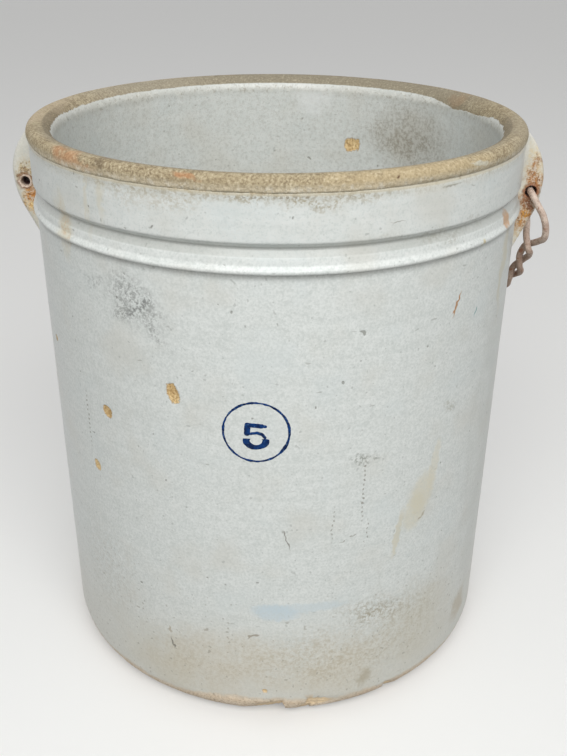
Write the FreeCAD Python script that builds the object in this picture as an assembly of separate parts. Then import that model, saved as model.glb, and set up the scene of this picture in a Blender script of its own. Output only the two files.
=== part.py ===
import FreeCAD, Part
import os
from math import acos, cos, pi, radians, sin, sqrt, tan

# A five gallon stoneware crock: a one-piece glazed pot, two pierced ears stuck on with slip,
# and a bail of twisted wire that hangs from one of them.
# Millimetres. The origin is the middle of the foot, +Z is up, the front looks along -Y,
# and the ears stand on the X axis, with the bail in the one on +X.

Vec = FreeCAD.Vector
UP = Vec(0, 0, 1)

# Driving dimensions of the pot, from the foot up
HEIGHT = 354.0
FOOT_RADIUS = 147.0
FOOT_CORNER = 17.0
SHOULDER_RADIUS = 149.0
BEAD_BOTTOM = 303.2
BEAD_TOP = 313.4
BEAD_RADIUS = 151.0
GROOVE_RADIUS = 146.4
COLLAR_BOTTOM = 318.8
COLLAR_TOP = 345.4
COLLAR_RADIUS = 150.0
COLLAR_EDGE = 2.2
COLLAR_START_ANGLE = -65.0
CREASE_DEPTH = 0.5
LIP_RADIUS = 150.9
LIP_ROUND = 5.2
LIP_START_ANGLE = -32.0

# Driving dimensions of the inside
MOUTH_RADIUS = 134.8
MOUTH_ROUND = 5.7
FLOOR_RADIUS = 134.0
FLOOR_HEIGHT = 18.0
INSIDE_CORNER = 24.0

# Driving dimensions of the ears, which were moulded and set by hand, so each has its own outline and
# its own hole. Outline points are radius and height. The flare and the round edge are full where the
# ear stands out this far from the flare's start, and shrink nearer the wall.
EAR_THICKNESS = 20.0
EAR_EDGE = 4.0
EAR_FLARE = 6.0
FLARE_START = 147.4
FULL_REACH = 12.0
LEAST_REACH = 0.8
EAR_SECTIONS = 12
EAR_ROOT = 141.0
EAR_OUTLINE = {"ear_left": [(146.0, 351.4), (154.2, 345.3), (162.0, 335.2), (166.6, 325.2), (168.3, 314.5),
                            (166.1, 300.6), (160.5, 287.0), (146.0, 262.0)],
               "ear_right": [(146.0, 351.4), (153.9, 345.2), (160.3, 335.4), (163.8, 325.5), (164.4, 315.0),
                             (162.1, 300.8), (156.0, 287.6), (146.0, 268.0)]}
HOLE_CENTRE = {"ear_left": (159.7, 309.7), "ear_right": (156.9, 311.2)}
HOLE_RADIUS = {"ear_left": 2.7, "ear_right": 3.4}
HOLE_MOUTH = {"ear_left": 1.3, "ear_right": 1.2}

# Driving dimensions of the bail. The strands leave the ear on its near and far side, meet at the
# first station, and twist round each other half a turn from each station to the next.
WIRE = 4.2
TWIST_RADIUS = 2.8
MOUTH_BEND = 5.4
CLEAR_OF_EAR = 3.2
STRAIGHT_IN_HOLE = 0.6
NEAR_STRAND = [(165.4, -14.0, 297.4), (168.0, -13.4, 289.6), (168.6, -10.6, 282.6), (166.8, -3.4, 277.8),
               (164.4, 4.0, 274.0), (161.6, 8.4, 271.6)]
FAR_STRAND = [(159.8, 13.8, 295.0), (160.6, 9.8, 285.6), (159.8, 2.4, 279.4), (160.4, -1.8, 274.8)]
TWIST_STATIONS = [(161.9, 2.5, 273.7), (160.9, 13.5, 257.6), (158.3, 26.0, 243.2), (151.0, 41.5, 229.5)]
SIGHT_LINE = (0.184, 0.933, -0.309)
HAND_AZIMUTH = 29.0
HAND_RADIUS = 156.0
HAND_DROP = 41.0
HAND_WIDTH = 116.0
HAND_ROUND = 9.0
HAND_HALF_TURNS = 3
PARTING_DROP = 9.0
PARTING_SPREAD = 5.0
# How close counts as on the hole's wall
NEAR = 0.01
# Points this close along the wire are neighbours, and are left out of its gap to itself
NEIGHBOUR = 3.0 * WIRE
GAP_STEP = 1.0


class Outline:
    """A chain of lines and arcs in the XZ plane, given as radius and height."""

    def __init__(self, r, z):
        self.at = Vec(r, 0, z)
        self.edges = []

    def line(self, r, z):
        end = Vec(r, 0, z)
        self.edges.append(Part.LineSegment(self.at, end).toShape())
        self.at = end

    def arc(self, middle, end):
        through = Vec(middle[0], 0, middle[1])
        last = Vec(end[0], 0, end[1])
        self.edges.append(Part.Arc(self.at, through, last).toShape())
        self.at = last

    def corner(self, centre, radius, start, stop):
        """A round corner about a centre, from one angle to another, in degrees."""
        self.arc(polar(centre, radius, (start + stop) / 2.0), polar(centre, radius, stop))

    def face(self):
        return Part.Face(Part.Wire(self.edges))


def polar(centre, radius, degrees):
    angle = radians(degrees)
    return (centre[0] + radius * cos(angle), centre[1] + radius * sin(angle))


def crock_section():
    """Half of the pot's section, from the middle of the foot round to the middle of the floor."""
    out = Outline(0.0, 0.0)
    out.line(FOOT_RADIUS - FOOT_CORNER, 0.0)
    out.corner((FOOT_RADIUS - FOOT_CORNER, FOOT_CORNER), FOOT_CORNER, -90.0, 0.0)
    out.line(SHOULDER_RADIUS, BEAD_BOTTOM)
    bead_middle = (BEAD_RADIUS, (BEAD_BOTTOM + BEAD_TOP) / 2.0)
    out.arc(bead_middle, (GROOVE_RADIUS, BEAD_TOP))
    collar_centre = (COLLAR_RADIUS - COLLAR_EDGE, COLLAR_BOTTOM + COLLAR_EDGE)
    collar_start = polar(collar_centre, COLLAR_EDGE, COLLAR_START_ANGLE)
    out.line(collar_start[0], collar_start[1])
    out.corner(collar_centre, COLLAR_EDGE, COLLAR_START_ANGLE, 0.0)
    out.line(COLLAR_RADIUS, COLLAR_TOP - CREASE_DEPTH)
    out.line(COLLAR_RADIUS - CREASE_DEPTH, COLLAR_TOP)
    lip_centre = (LIP_RADIUS - LIP_ROUND, HEIGHT - LIP_ROUND)
    lip_start = polar(lip_centre, LIP_ROUND, LIP_START_ANGLE)
    out.line(lip_start[0], lip_start[1])
    out.corner(lip_centre, LIP_ROUND, LIP_START_ANGLE, 90.0)
    mouth_centre = (MOUTH_RADIUS + MOUTH_ROUND, HEIGHT - MOUTH_ROUND)
    mouth_start = polar(mouth_centre, MOUTH_ROUND, 90.0)
    out.line(mouth_start[0], mouth_start[1])
    out.corner(mouth_centre, MOUTH_ROUND, 90.0, 180.0)
    out.line(FLOOR_RADIUS, FLOOR_HEIGHT + INSIDE_CORNER)
    out.corner((FLOOR_RADIUS - INSIDE_CORNER, FLOOR_HEIGHT + INSIDE_CORNER), INSIDE_CORNER, 0.0, -90.0)
    out.line(0.0, FLOOR_HEIGHT)
    out.line(0.0, 0.0)
    return out.face()


def crock_body():
    return crock_section().revolve(Vec(0, 0, 0), UP, 360)


def capacity_litres(body):
    """What the pot holds when it is filled to the top of its rim."""
    envelope = Part.makeCylinder(LIP_RADIUS + 1.0, HEIGHT)
    hollow = envelope.cut(body)
    return min(hollow.Solids, key=lambda s: s.BoundBox.XLength).Volume / 1.0e6


def ear_plan(reach, z):
    """The ear's plan at one height: flared where it leaves the wall, and rounded at its outer edge."""
    room = max(reach - FLARE_START, LEAST_REACH)
    share = min(1.0, room / FULL_REACH)
    half = EAR_THICKNESS / 2.0
    tip = FLARE_START + room
    flare = EAR_FLARE * share
    edge = EAR_EDGE * share
    flare_middle = polar((FLARE_START + flare, half + flare), flare, 225.0)
    edge_middle = polar((tip - edge, half - edge), edge, 45.0)
    side = [(EAR_ROOT, half + flare), (FLARE_START, half + flare), flare_middle, (FLARE_START + flare, half),
            (tip - edge, half), edge_middle, (tip, half - edge)]
    near = [Vec(x, -y, z) for x, y in side]
    far = [Vec(x, y, z) for x, y in side]
    tip_edge = Part.LineSegment(near[-1], far[-1]).toShape()
    root_edge = Part.LineSegment(far[0], near[0]).toShape()
    return Part.Wire(ear_side(near) + [tip_edge] + ear_side(far)[::-1] + [root_edge])


def ear_side(p):
    """One side of the ear's plan: along the root, round the flare, along the flat and round the edge."""
    return [Part.LineSegment(p[0], p[1]).toShape(), Part.Arc(p[1], p[2], p[3]).toShape(),
            Part.LineSegment(p[3], p[4]).toShape(), Part.Arc(p[4], p[5], p[6]).toShape()]


def ear(body, name, side):
    """One ear on the +X side (side 1) or the -X side (side -1), cut to the wall behind it."""
    curve = Part.BSplineCurve()
    curve.interpolate([Vec(r, 0, z) for r, z in EAR_OUTLINE[name]])
    block = Part.makeLoft([ear_plan(p.x, p.z) for p in curve.discretize(EAR_SECTIONS)], True)
    start = Vec(HOLE_CENTRE[name][0], -EAR_THICKNESS, HOLE_CENTRE[name][1])
    radius = HOLE_RADIUS[name]
    block = block.cut(Part.makeCylinder(radius, 2.0 * EAR_THICKNESS, start, Vec(0, 1, 0)))
    mouths = [e for e in block.Edges if is_hole_mouth(e, start, radius)]
    block = block.makeFillet(HOLE_MOUTH[name], mouths)
    if side < 0:
        block = block.mirror(Vec(0, 0, 0), Vec(1, 0, 0))
    return block.cut(body)


def is_hole_mouth(edge, start, radius):
    """Whether an edge runs round the hole's end: on the hole's wall, and not along it."""
    off_axis = [Vec(p.x - start.x, 0, p.z - start.z).Length for p in edge.discretize(5)]
    return max(abs(r - radius) for r in off_axis) < NEAR and edge.BoundBox.YLength < radius


def unit(v):
    return v * (1.0 / v.Length)


def between(a, b, share):
    return a + (b - a) * share


def arc_edge(start, tangent, end):
    """The arc that leaves start along tangent and ends at end, or a line where it is straight."""
    chord = end - start
    side = chord - tangent * chord.dot(tangent)
    if side.Length < 1e-4 * chord.Length:
        return Part.LineSegment(start, end).toShape(), tangent, None
    normal = unit(side)
    radius = chord.dot(chord) / (2.0 * normal.dot(chord))
    centre = start + normal * radius
    outward = unit((start - centre) + (end - centre))
    if chord.dot(tangent) < 0:
        outward = outward * -1.0
    edge = Part.Arc(start, centre + outward * radius, end).toShape()
    leaving = unit(chord * (2.0 * chord.dot(tangent) / chord.dot(chord)) - tangent)
    return edge, leaving, radius


def biarc(start, t0, end, t1):
    """Two arcs that join two points with given directions."""
    v = end - start
    t = t0 + t1
    spread = 2.0 * (1.0 - t0.dot(t1))
    if spread < 1e-6:
        reach = v.dot(v) / (2.0 * v.dot(t))
    else:
        reach = (-v.dot(t) + sqrt(v.dot(t) ** 2 + spread * v.dot(v))) / spread
    joint = (start + end + (t0 - t1) * reach) * 0.5
    first, leaving, r0 = arc_edge(start, t0, joint)
    second, arriving, r1 = arc_edge(joint, leaving, end)
    return [first, second], [r for r in (r0, r1) if r]


def turn_direction(a, b, c):
    """The direction at b of the circle through a, b and c."""
    u = b - a
    w = c - b
    return unit(u * (1.0 / u.dot(u)) + w * (1.0 / w.dot(w)))


def smooth_path(points):
    """Biarcs through the points. Each direction is that of the circle through its neighbours."""
    count = len(points)
    aims = [turn_direction(points[i - 1], points[i], points[i + 1]) for i in range(1, count - 1)]
    aims.insert(0, unit(points[1] - points[0]))
    aims.append(unit(points[-1] - points[-2]))
    edges = []
    radii = []
    for i in range(count - 1):
        pair, sizes = biarc(points[i], aims[i], points[i + 1], aims[i + 1])
        edges += pair
        radii += sizes
    return edges, radii


def out_of_ear(strand, side):
    """Adds the straight stretch in the ear's hole and the bend at its mouth to the start of a strand."""
    hole = Vec(HOLE_CENTRE["ear_right"][0], 0, HOLE_CENTRE["ear_right"][1])
    out = Vec(0, side, 0)
    drop = strand[0] - hole
    drop = unit(Vec(drop.x, 0, drop.z))
    start = hole + out * (EAR_THICKNESS / 2.0 + CLEAR_OF_EAR - MOUTH_BEND)
    turns = [i * pi / 6.0 for i in range(4)]
    bend = [start + out * (MOUTH_BEND * sin(a)) + drop * (MOUTH_BEND * (1.0 - cos(a))) for a in turns]
    below = bend[-1] + drop * (MOUTH_BEND / 2.0)
    return [between(hole, start, STRAIGHT_IN_HOLE)] + bend + [below] + strand


def helix_pair(stations, behind, half_turns, quarter, skip=0):
    """Quarter-turn points of two strands that twist round the line through the stations.

    The first strand starts on the side that behind points to. skip leaves out that many quarters.
    """
    first = []
    second = []
    spans = len(stations) - 1
    steps = 2 * half_turns
    for i in range(skip, steps + 1):
        place = i * spans / float(steps)
        k = min(int(place), spans - 1)
        at = between(stations[k], stations[k + 1], place - k)
        along = unit(stations[k + 1] - stations[k])
        across = unit(behind - along * behind.dot(along))
        beside = along.cross(across) * quarter
        angle = i * pi / 2.0
        offset = (across * cos(angle) + beside * sin(angle)) * TWIST_RADIUS
        first.append(at + offset)
        second.append(at - offset)
    return first, second


def hand_arm(parting, corner, leg, outward):
    """From the foot of the stem along a straight arm and round the corner into the hand leg.

    parting is where the strand leaves the stem, leg is the hand leg's direction from the corner.
    Returns the points and where the hand leg's twist starts.
    """
    along = unit(corner - parting)
    inward = unit(leg - along)
    half_turn = acos(along.dot(leg)) / 2.0
    reach = HAND_ROUND * tan(half_turn)
    centre = corner + inward * (HAND_ROUND / cos(half_turn))
    proud = outward * (TWIST_RADIUS / 2.0)
    start = corner - along * reach
    points = [parting, between(parting, start, 0.5), start, centre - inward * HAND_ROUND + proud]
    return points, corner + leg * reach


def bail_route():
    """The bail's whole route, from the end of one strand to the end of the other."""
    near = out_of_ear([Vec(*p) for p in NEAR_STRAND], -1.0)
    far = out_of_ear([Vec(*p) for p in FAR_STRAND], 1.0)
    stations = [Vec(*p) for p in TWIST_STATIONS]
    stem_near, stem_far = helix_pair(stations, Vec(*SIGHT_LINE), len(stations) - 1, -1.0, 1)
    neck = stations[-1]
    azimuth = radians(HAND_AZIMUTH)
    outward = Vec(cos(azimuth), sin(azimuth), 0)
    onward = Vec(-sin(azimuth), cos(azimuth), 0)
    down = unit(onward - UP)
    aside = unit(onward + UP)
    middle = outward * HAND_RADIUS + UP * (neck.z - HAND_DROP)
    top = middle + aside * (HAND_WIDTH / 2.0)
    foot = middle - aside * (HAND_WIDTH / 2.0)
    parting = neck + down * PARTING_DROP
    near_arm, leg_foot = hand_arm(parting - aside * PARTING_SPREAD, foot, aside, outward)
    far_arm, leg_top = hand_arm(parting + aside * PARTING_SPREAD, top, aside * -1.0, outward)
    leg_far, leg_near = helix_pair([leg_top, leg_foot], outward, HAND_HALF_TURNS, 1.0)
    leg_near.reverse()
    near_half = near + stem_near + near_arm + leg_near[:-2]
    far_half = far + stem_far + far_arm + leg_far[:-2]
    return list(reversed(near_half)) + far_half


def least_gap(edges):
    """The smallest clear space between any two stretches of the wire, measured on points along it."""
    points = []
    for edge in edges:
        count = max(3, int(edge.Length / GAP_STEP))
        points += edge.discretize(count)[:-1]
    travel = [0.0]
    for i in range(1, len(points)):
        travel.append(travel[-1] + (points[i] - points[i - 1]).Length)
    least = min((points[i] - points[j]).Length
                for i in range(len(points)) for j in range(i) if travel[i] - travel[j] > NEIGHBOUR)
    return least - WIRE


def bail_wire():
    route = bail_route()
    edges, radii = smooth_path(route)
    spine = Part.Wire(edges)
    section = Part.Wire(Part.makeCircle(WIRE / 2.0, route[0], route[1] - route[0]))
    tube = spine.makePipeShell([section], True, False)
    ideal = pi * WIRE * WIRE / 4.0 * spine.Length
    print("bail wire: length %.1f mm, tightest radius %.2f mm, least gap to itself %.2f mm, volume ratio %.4f"
          % (spine.Length, min(radii), least_gap(edges), tube.Volume / ideal))
    return tube


def main():
    os.makedirs("parts", exist_ok=True)
    body = crock_body()
    pieces = {"crock_body": body,
              "ear_left": ear(body, "ear_left", -1),
              "ear_right": ear(body, "ear_right", 1),
              "bail_wire": bail_wire()}
    print("capacity to the brim: %.2f litres" % capacity_litres(body))
    for name, shape in pieces.items():
        print("%-12s valid %s, solids %d, volume %.1f cm3"
              % (name, shape.isValid(), len(shape.Solids), shape.Volume / 1000.0))
        shape.exportStep("parts/" + name + ".step")


main()
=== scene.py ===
from math import ceil, cos, degrees, hypot, pi, radians, sin, sqrt

import bmesh
import bpy
from mathutils import Matrix, Vector, noise


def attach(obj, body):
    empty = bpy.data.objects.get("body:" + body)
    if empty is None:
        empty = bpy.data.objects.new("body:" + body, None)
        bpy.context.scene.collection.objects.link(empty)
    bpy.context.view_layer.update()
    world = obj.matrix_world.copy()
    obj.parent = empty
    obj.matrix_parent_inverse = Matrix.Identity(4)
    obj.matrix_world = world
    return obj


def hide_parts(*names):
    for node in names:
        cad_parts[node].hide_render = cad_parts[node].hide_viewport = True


# The looks of a five gallon stoneware crock: worn off-white glaze over tan clay, a bare rim and foot,
# two pierced ears stained by rust, and a dusty twisted bail.
# Lengths are in millimetres until a mesh is made. A place on the pot is an azimuth in degrees,
# from +X towards +Y, and a height. The front is at -90, and the bail hangs at 0.

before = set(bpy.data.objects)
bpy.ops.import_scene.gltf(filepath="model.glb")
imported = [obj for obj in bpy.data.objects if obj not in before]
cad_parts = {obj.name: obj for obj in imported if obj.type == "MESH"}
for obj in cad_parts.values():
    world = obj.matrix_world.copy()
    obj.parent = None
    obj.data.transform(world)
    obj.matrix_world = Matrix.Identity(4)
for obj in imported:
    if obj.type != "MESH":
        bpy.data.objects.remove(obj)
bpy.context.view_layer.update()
MM = 0.001

# The pot's section, with the same driving sizes as its solid
HEIGHT = 354.0
FOOT_RADIUS = 147.0
FOOT_CORNER = 17.0
SHOULDER_RADIUS = 149.0
BEAD_BOTTOM = 303.2
BEAD_TOP = 313.4
BEAD_RADIUS = 151.0
GROOVE_RADIUS = 146.4
COLLAR_BOTTOM = 318.8
COLLAR_TOP = 345.4
COLLAR_RADIUS = 150.0
COLLAR_EDGE = 2.2
COLLAR_START_ANGLE = -65.0
CREASE_DEPTH = 0.5
# The bead in more detail than its solid: a round nose low down, a slope up to a flat face, and a cove
NOSE_CENTRE = (148.9, 305.3)
NOSE_ROUND = 2.05
NOSE_START_ANGLE = -80.0
NOSE_STOP_ANGLE = 32.0
BEAD_FACE = [(149.5, 308.4), (149.2, 310.6), (148.9, 312.4), (147.9, 314.0), (146.6, 316.4)]
LIP_RADIUS = 150.9
LIP_ROUND = 5.2
LIP_START_ANGLE = -32.0
MOUTH_RADIUS = 134.8
# Rounder than the solid's, worn down on the inside
MOUTH_ROUND = 10.6
# What lies less than this from the axis is the pot's inside
INSIDE_REACH = MOUTH_RADIUS + 2.0
FLOOR_RADIUS = 134.0
FLOOR_HEIGHT = 18.0
INSIDE_CORNER = 24.0
COLUMNS = 288

# The ears, with the same driving sizes as their solids. Both are made on the +X side, and the left one
# is mirrored.
SIDE = {"ear_left": -1.0, "ear_right": 1.0}
EAR_THICKNESS = 20.0
EAR_EDGE = 4.0
EAR_FLARE = 6.0
# Where an ear reaches out less than this, its edge and its flare are smaller
FULL_REACH = 12.0
EAR_OUTLINE = {
    "ear_left": [(146, 351.4), (154.2, 345.3), (162, 335.2), (166.6, 325.2), (168.3, 314.5), (166.1, 300.6),
                 (160.5, 287), (146, 262)],
    "ear_right": [(146, 351.4), (153.9, 345.2), (160.3, 335.4), (163.8, 325.5), (164.4, 315), (162.1, 300.8),
                  (156, 287.6), (146, 268)]}
HOLE_CENTRE = {"ear_left": (159.7, 309.7), "ear_right": (156.9, 311.2)}
HOLE_RADIUS = {"ear_left": 2.7, "ear_right": 3.4}
HOLE_MOUTH = {"ear_left": 1.3, "ear_right": 1.2}


def polar(centre, radius, angle):
    return (centre[0] + radius * cos(radians(angle)), centre[1] + radius * sin(radians(angle)))


def on_pot(azimuth, radius, height):
    a = radians(azimuth)
    return Vector((radius * cos(a), radius * sin(a), height))


def smooth_step(start, stop, value):
    """0 on start's side and 1 on stop's side, with an even change between."""
    t = min(1.0, max(0.0, (value - start) / (stop - start)))
    return t * t * (3.0 - 2.0 * t)


def ripple(place, size):
    """Smooth noise, from about -1 to 1, whose bumps are about size wide."""
    return noise.noise(place / size)


# Shape of the pot

class Section:
    """A chain of points, radius and height, that lines and arcs add to in even steps."""

    def __init__(self, r, z):
        self.points = [(r, z)]

    def line(self, r, z, step):
        r0, z0 = self.points[-1]
        count = max(1, ceil(hypot(r - r0, z - z0) / step))
        for i in range(1, count + 1):
            self.points.append((r0 + (r - r0) * i / count, z0 + (z - z0) * i / count))

    def arc(self, centre, radius, start, stop, step):
        count = max(2, ceil(abs(radians(stop - start)) * radius / step))
        for i in range(1, count + 1):
            self.points.append(polar(centre, radius, start + (stop - start) * i / count))


def pot_section():
    out = Section(0.0, 0.0)
    out.line(FOOT_RADIUS - FOOT_CORNER, 0.0, 12.0)
    out.arc((FOOT_RADIUS - FOOT_CORNER, FOOT_CORNER), FOOT_CORNER, -90.0, 0.0, 1.2)
    out.line(SHOULDER_RADIUS, BEAD_BOTTOM, 4.0)
    out.arc(NOSE_CENTRE, NOSE_ROUND, NOSE_START_ANGLE, NOSE_STOP_ANGLE, 0.4)
    for r, z in BEAD_FACE:
        out.line(r, z, 0.7)
    collar_centre = (COLLAR_RADIUS - COLLAR_EDGE, COLLAR_BOTTOM + COLLAR_EDGE)
    collar_start = polar(collar_centre, COLLAR_EDGE, COLLAR_START_ANGLE)
    out.line(collar_start[0], collar_start[1], 0.7)
    out.arc(collar_centre, COLLAR_EDGE, COLLAR_START_ANGLE, 0.0, 0.5)
    out.line(COLLAR_RADIUS, COLLAR_TOP - CREASE_DEPTH, 2.0)
    out.line(COLLAR_RADIUS - CREASE_DEPTH, COLLAR_TOP, 0.5)
    lip_centre = (LIP_RADIUS - LIP_ROUND, HEIGHT - LIP_ROUND)
    lip_start = polar(lip_centre, LIP_ROUND, LIP_START_ANGLE)
    out.line(lip_start[0], lip_start[1], 0.5)
    out.arc(lip_centre, LIP_ROUND, LIP_START_ANGLE, 90.0, 0.6)
    mouth_centre = (MOUTH_RADIUS + MOUTH_ROUND, HEIGHT - MOUTH_ROUND)
    out.line(mouth_centre[0], HEIGHT, 1.0)
    out.arc(mouth_centre, MOUTH_ROUND, 90.0, 180.0, 0.7)
    out.line(FLOOR_RADIUS, FLOOR_HEIGHT + INSIDE_CORNER, 8.0)
    out.arc((FLOOR_RADIUS - INSIDE_CORNER, FLOOR_HEIGHT + INSIDE_CORNER), INSIDE_CORNER, 0.0, -90.0, 3.0)
    out.line(0.0, FLOOR_HEIGHT, 12.0)
    return out.points


# Chips in the glaze: azimuth and height of the middle, how wide, how high and how deep each is, and
# whether it is on the inside
GLAZE_CHIPS = [
    (-108, 231.1, 7.6, 12, 0.8, False),
    (-127, 205.9, 7.5, 7.6, 0.7, False),
    (-133.1, 162.9, 6, 6.9, 0.7, False),
    (-150.7, 230.2, 5, 4.1, 0.6, False),
    (-88.3, 24.6, 3.2, 3.4, 0.5, False),
    (69.9, 306.3, 12, 10.4, 0.8, True)]
GLAZE_THICKNESS = 0.35
CHIP_LEAN = 0.2
# 2 would make a chip an oval, and more makes it squarer
CHIP_SQUARENESS = 2.5
# Each of these starts one more round of splitting, this far round the chips
CHIP_MARGINS = (3.0, 1.8, 1.2)

# Chips in the foot: azimuth where each starts, azimuth where it is deepest and breaks off, height of
# its middle, half its height, depth
FOOT_CHIPS = [
    (-94, -83.9, 5, 14, 3.8),
    (-80.4, -76.9, 8, 8, 1.6),
    (-69.4, -77.6, 12.5, 6.5, 1.9),
    (-52.5, -56.6, 7, 9, 2.4),
    (-151, -154, 7, 10, 2.2),
    (-146, -148.6, 6, 9, 1.8)]
FOOT_SKIN_TOP = 16.0

# How far the wall waves in and out, slowly and more quickly, and how far the foot is worn away
SLOW_WAVE = 0.32
QUICK_WAVE = 0.14
FOOT_WEAR = 0.5

# The slip that fills the crease under the rim: azimuth of its middle, how far up and down it reaches,
# how far round it is full, how far round it ends, and its depth
FILL_AZIMUTH = -106.0
FILL_REACH = 3.0
FILL_FULL = 88.0
FILL_END = 118.0
FILL_DEPTH = 0.9


def azimuth_gap(place, azimuth):
    """How far round the pot a place is from an azimuth, in millimetres."""
    a = radians(azimuth)
    return -place.x * sin(a) + place.y * cos(a)


def in_front_of(place, azimuth):
    a = radians(azimuth)
    return place.x * cos(a) + place.y * sin(a) > 0.0


def is_inside(place):
    return hypot(place.x, place.y) < INSIDE_REACH


def glaze_chip(place):
    """How much of a place is chipped, from 0 to 1, and how deep the chip is there."""
    bare = 0.0
    deep = 0.0
    inner = is_inside(place)
    for azimuth, height, across, high, depth, inside in GLAZE_CHIPS:
        if inner != inside or abs(place.z - height) > high or not in_front_of(place, azimuth):
            continue
        aside = 2.0 * abs(azimuth_gap(place, azimuth) + CHIP_LEAN * (place.z - height)) / across
        above = 2.0 * abs(place.z - height) / high
        reach = (aside ** CHIP_SQUARENESS + above ** CHIP_SQUARENESS) ** (1.0 / CHIP_SQUARENESS)
        reach += 0.16 * ripple(place, 3.1) + 0.18 * ripple(place, 1.1)
        edge = smooth_step(1.05, 0.93, reach)
        bowl = max(0.0, 1.0 - reach * reach)
        bare = max(bare, edge)
        deep = max(deep, edge * GLAZE_THICKNESS + bowl * (depth - GLAZE_THICKNESS))
    return bare, deep


def foot_chip(place):
    """The same for the chips along the foot, which run out on one side and break off on the other."""
    bare = 0.0
    deep = 0.0
    if place.z > FOOT_SKIN_TOP + 4.0:
        return bare, deep
    for start, stop, height, half, depth in FOOT_CHIPS:
        if not in_front_of(place, stop):
            continue
        length = azimuth_gap(on_pot(stop, FOOT_RADIUS, 0.0), start)
        along = azimuth_gap(place, start) / length
        along += 0.05 * ripple(place, 2.3)
        if not 0.0 < along < 1.1:
            continue
        ramp = along * smooth_step(1.06, 1.0, along)
        rise = (place.z - height + 0.8 * ripple(place, 2.9)) / half
        window = smooth_step(1.0, 0.35, abs(rise) + 0.25 * (1.0 - ramp))
        bare = max(bare, smooth_step(0.2, 0.4, ramp * window))
        deep = max(deep, depth * ramp * window * (1.0 + 0.18 * ripple(place, 1.7)))
    return bare, deep


def hand_made(place):
    """How far the surface lies inside its ideal one, because the pot is a little out of true."""
    standing = smooth_step(0.6, 6.0, place.z)
    slow = 0.5 + 0.5 * ripple(place, 75.0)
    quick = 0.5 + 0.5 * ripple(place + Vector((50.0, 0.0, 0.0)), 22.0)
    ragged = smooth_step(FOOT_SKIN_TOP, 4.0, place.z) * (0.5 + 0.5 * ripple(place, 2.6)) ** 2
    return standing * (SLOW_WAVE * slow + QUICK_WAVE * quick + FOOT_WEAR * ragged)


def crease_fill(place):
    """How far slip stands out of the crease under the rim, which it fills on the left of the front."""
    if abs(place.z - COLLAR_TOP) > FILL_REACH or not in_front_of(place, FILL_AZIMUTH):
        return 0.0
    share = smooth_step(FILL_REACH, 0.3, abs(place.z - COLLAR_TOP))
    share *= smooth_step(FILL_END, FILL_FULL, abs(azimuth_gap(place, FILL_AZIMUTH)))
    return FILL_DEPTH * share * (0.75 + 0.5 * ripple(place, 3.0))


def turns(count):
    """The angles, in radians, that share a full turn out evenly."""
    return [2.0 * pi * i / count for i in range(count)]


def bridge(bm, rings):
    """Faces between each ring of vertices and the next."""
    for low, high in zip(rings, rings[1:]):
        for i in range(len(low)):
            j = (i + 1) % len(low)
            bm.faces.new((low[i], low[j], high[j], high[i]))


def revolved(points, columns):
    """A closed bmesh from a section that starts and ends on the axis."""
    bm = bmesh.new()
    rows = [[bm.verts.new((r * cos(a), r * sin(a), z)) for a in turns(columns)] for r, z in points[1:-1]]
    first = bm.verts.new((0.0, 0.0, points[0][1]))
    last = bm.verts.new((0.0, 0.0, points[-1][1]))
    for i in range(columns):
        j = (i + 1) % columns
        bm.faces.new((first, rows[0][j], rows[0][i]))
        bm.faces.new((last, rows[-1][i], rows[-1][j]))
    bridge(bm, rows)
    return bm


def refine(bm, wanted):
    """Splits in four every face that has a corner where wanted is true."""
    near = {v for v in bm.verts if wanted(v.co)}
    edges = {e for v in near for f in v.link_faces for e in f.edges}
    bmesh.ops.subdivide_edges(bm, edges=list(edges), cuts=1, use_grid_fill=True)


def near_chip(margin):
    """A test for refine: whether a place is within a margin of a chip in the glaze."""
    def wanted(place):
        inner = is_inside(place)
        return any(inner == inside and in_front_of(place, azimuth)
                   and abs(place.z - height) < high / 2.0 + margin
                   and abs(azimuth_gap(place, azimuth)) < across / 2.0 + margin
                   for azimuth, height, across, high, depth, inside in GLAZE_CHIPS)
    return wanted


def on_seen_foot(place):
    return 1.0 < place.z < FOOT_SKIN_TOP + 1.0 and place.y < 0.0 and hypot(place.x, place.y) > FLOOR_RADIUS


def near_foot_chip(place):
    if not on_seen_foot(place):
        return False
    for start, stop, height, half, depth in FOOT_CHIPS:
        low, high = min(start, stop) - 0.8, max(start, stop) + 0.8
        if azimuth_gap(place, low) > 0.0 > azimuth_gap(place, high) and in_front_of(place, low):
            return True
    return False


def link(name, bm, size=MM):
    """A smooth shaded object from a bmesh in millimetres, which it frees."""
    mesh = bpy.data.meshes.new(name)
    bmesh.ops.scale(bm, vec=(size, size, size), verts=bm.verts)
    bm.to_mesh(mesh)
    bm.free()
    mesh.shade_smooth()
    piece = bpy.data.objects.new(name, mesh)
    bpy.context.scene.collection.objects.link(piece)
    return piece


def make_pot():
    bm = revolved(pot_section(), COLUMNS)
    for margin in CHIP_MARGINS:
        refine(bm, near_chip(margin))
    refine(bm, on_seen_foot)
    refine(bm, near_foot_chip)
    bm.normal_update()
    bare_layer = bm.verts.layers.float.new("bare")
    for v in bm.verts:
        place = v.co.copy()
        glaze_bare, glaze_deep = glaze_chip(place)
        foot_bare, foot_deep = foot_chip(place)
        v[bare_layer] = max(glaze_bare, foot_bare)
        v.co -= v.normal * (hand_made(place) + max(glaze_deep, foot_deep) - crease_fill(place))
    return link("crock_body_glazed", bm)


# Shape of the ears

EAR_STEPS = 70
EAR_ROOT_DEPTH = 3.0
EAR_SINK = 0.7
EAR_VOXEL = 0.45
EAR_SOFTENING = 4
# How far the whole skin is drawn in, so that its bumps stay inside the solid
EAR_DRAWN_IN = 0.25
HOLE_SIDES = 48


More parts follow.
